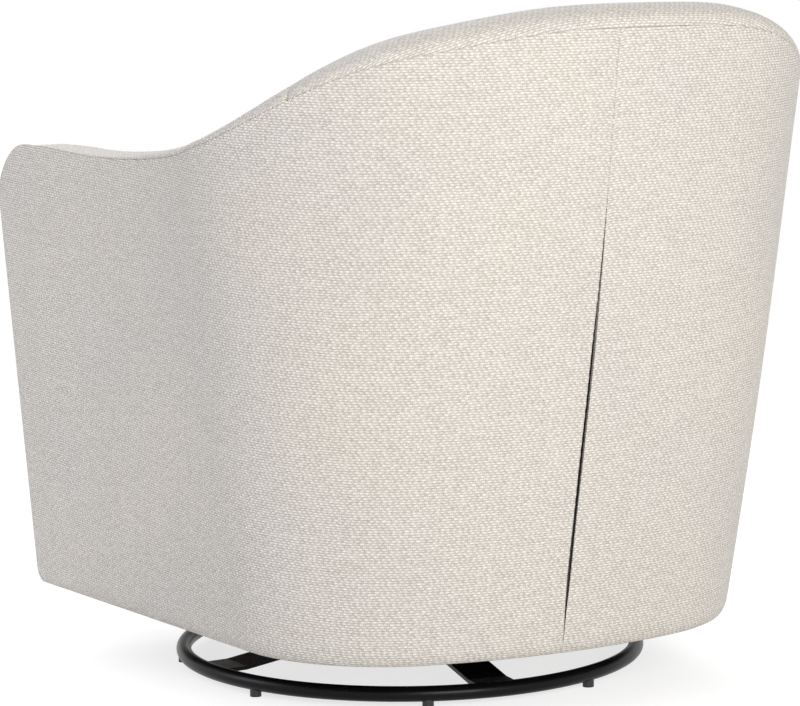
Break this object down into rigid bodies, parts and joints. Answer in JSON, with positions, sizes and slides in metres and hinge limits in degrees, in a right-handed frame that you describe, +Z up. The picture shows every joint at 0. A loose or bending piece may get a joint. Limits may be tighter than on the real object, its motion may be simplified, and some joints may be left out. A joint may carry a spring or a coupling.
{
  "type": "swivel glider chair",
  "caption": "Upholstered barrel armchair on a round steel base; it swivels all the way round and glides back and forth on swing links.",
  "frame": {"origin": "centre of the chair's footprint on the floor, in the middle plane", "axes": "+Z up, -Y toward the front of the seat, X across the arms"},
  "size_m": [0.8272, 0.8666, 0.841],
  "materials": {
    "black_steel": "satin black powder coat",
    "bare_steel": "zinc plated",
    "dark_steel": "dark grey paint",
    "spring_wire": "oiled spring steel",
    "black_rubber": "matt",
    "nylon": "natural nylon",
    "glide_plastic": "black nylon",
    "brass_cage": "stamped",
    "timber": "raw hardwood and plywood",
    "linen_weave": "oatmeal basket weave",
    "dark_cloth": "black non-woven cloth",
    "deck_cloth": "plain grey deck cloth"
  },
  "bodies": {
    "base": {"base_ring": "black_steel", "base_arms": "black_steel", "hub_plate": "black_steel", "base_glides": "glide_plastic", "king_pin": "bare_steel", "king_nut": "bare_steel", "lower_race": "bare_steel"},
    "ball_cage": {"bearing_balls": "bare_steel", "ball_cage": "brass_cage"},
    "swivel_frame": {"upper_race": "bare_steel", "swivel_plate": "dark_steel", "channel_front": "dark_steel", "channel_rear": "dark_steel", "plate_bolts": "bare_steel", "hanger_left": "dark_steel", "hanger_right": "dark_steel", "upper_pins": "bare_steel", "stop_pins": "bare_steel", "rubber_stops": "black_rubber"},
    "link_front_left": {"link_front_left": "dark_steel", "bushes_front_left": "nylon"},
    "link_rear_left": {"link_rear_left": "dark_steel", "bushes_rear_left": "nylon"},
    "link_front_right": {"link_front_right": "dark_steel", "bushes_front_right": "nylon"},
    "link_rear_right": {"link_rear_right": "dark_steel", "bushes_rear_right": "nylon"},
    "chair": {"lower_pins": "bare_steel", "rail_bolts": "bare_steel", "spring_clips": "bare_steel", "glide_rails": "dark_steel", "seat_springs": "spring_wire", "cross_rail_front": "timber", "cross_rail_rear": "timber", "bottom_rail": "timber", "seat_rail": "timber", "top_rail": "timber", "frame_posts": "timber", "arm_boards": "timber", "front_rail": "timber", "corner_blocks": "timber", "outside_left": "linen_weave", "outside_right": "linen_weave", "inside_left": "linen_weave", "inside_back": "linen_weave", "inside_right": "linen_weave", "arm_front_left": "linen_weave", "arm_front_right": "linen_weave", "front_cover": "linen_weave", "seat_cushion": "linen_weave", "zip_tape": "dark_cloth", "dust_cover": "dark_cloth", "seat_deck": "deck_cloth"}
  },
  "joints": [
    {"name": "swivel", "type": "hinge", "parent": "base", "child": "swivel_frame", "pos_m": [0, -0.0854, 0.062], "axis": [0, 0, 1], "continuous": true},
    {"name": "cage_turn", "type": "hinge", "parent": "base", "child": "ball_cage", "pos_m": [0, -0.0854, 0.0565], "axis": [0, 0, 1], "continuous": true},
    {"name": "glide", "type": "hinge", "parent": "swivel_frame", "child": "link_rear_left", "pos_m": [0.22433, 0.0346, 0.201], "axis": [1, 0, 0], "range_deg": [-28, 28]},
    {"name": "chair_level", "type": "hinge", "parent": "link_rear_left", "child": "chair", "pos_m": [0.22433, 0.0346, 0.091], "axis": [1, 0, 0], "range_deg": [-28, 28]},
    {"name": "swing_front_left", "type": "hinge", "parent": "swivel_frame", "child": "link_front_left", "pos_m": [0.22433, -0.2054, 0.201], "axis": [1, 0, 0], "range_deg": [-28, 28]},
    {"name": "swing_front_right", "type": "hinge", "parent": "swivel_frame", "child": "link_front_right", "pos_m": [-0.22433, -0.2054, 0.201], "axis": [1, 0, 0], "range_deg": [-28, 28]},
    {"name": "swing_rear_right", "type": "hinge", "parent": "swivel_frame", "child": "link_rear_right", "pos_m": [-0.22433, 0.0346, 0.201], "axis": [1, 0, 0], "range_deg": [-28, 28]}
  ],
  "couplings": [
    {"joint": "cage_turn", "follows": "swivel", "ratio": 0.5},
    {"joint": "chair_level", "follows": "glide", "ratio": -1},
    {"joint": "swing_front_left", "follows": "glide", "ratio": 1},
    {"joint": "swing_front_right", "follows": "glide", "ratio": 1},
    {"joint": "swing_rear_right", "follows": "glide", "ratio": 1}
  ]
}
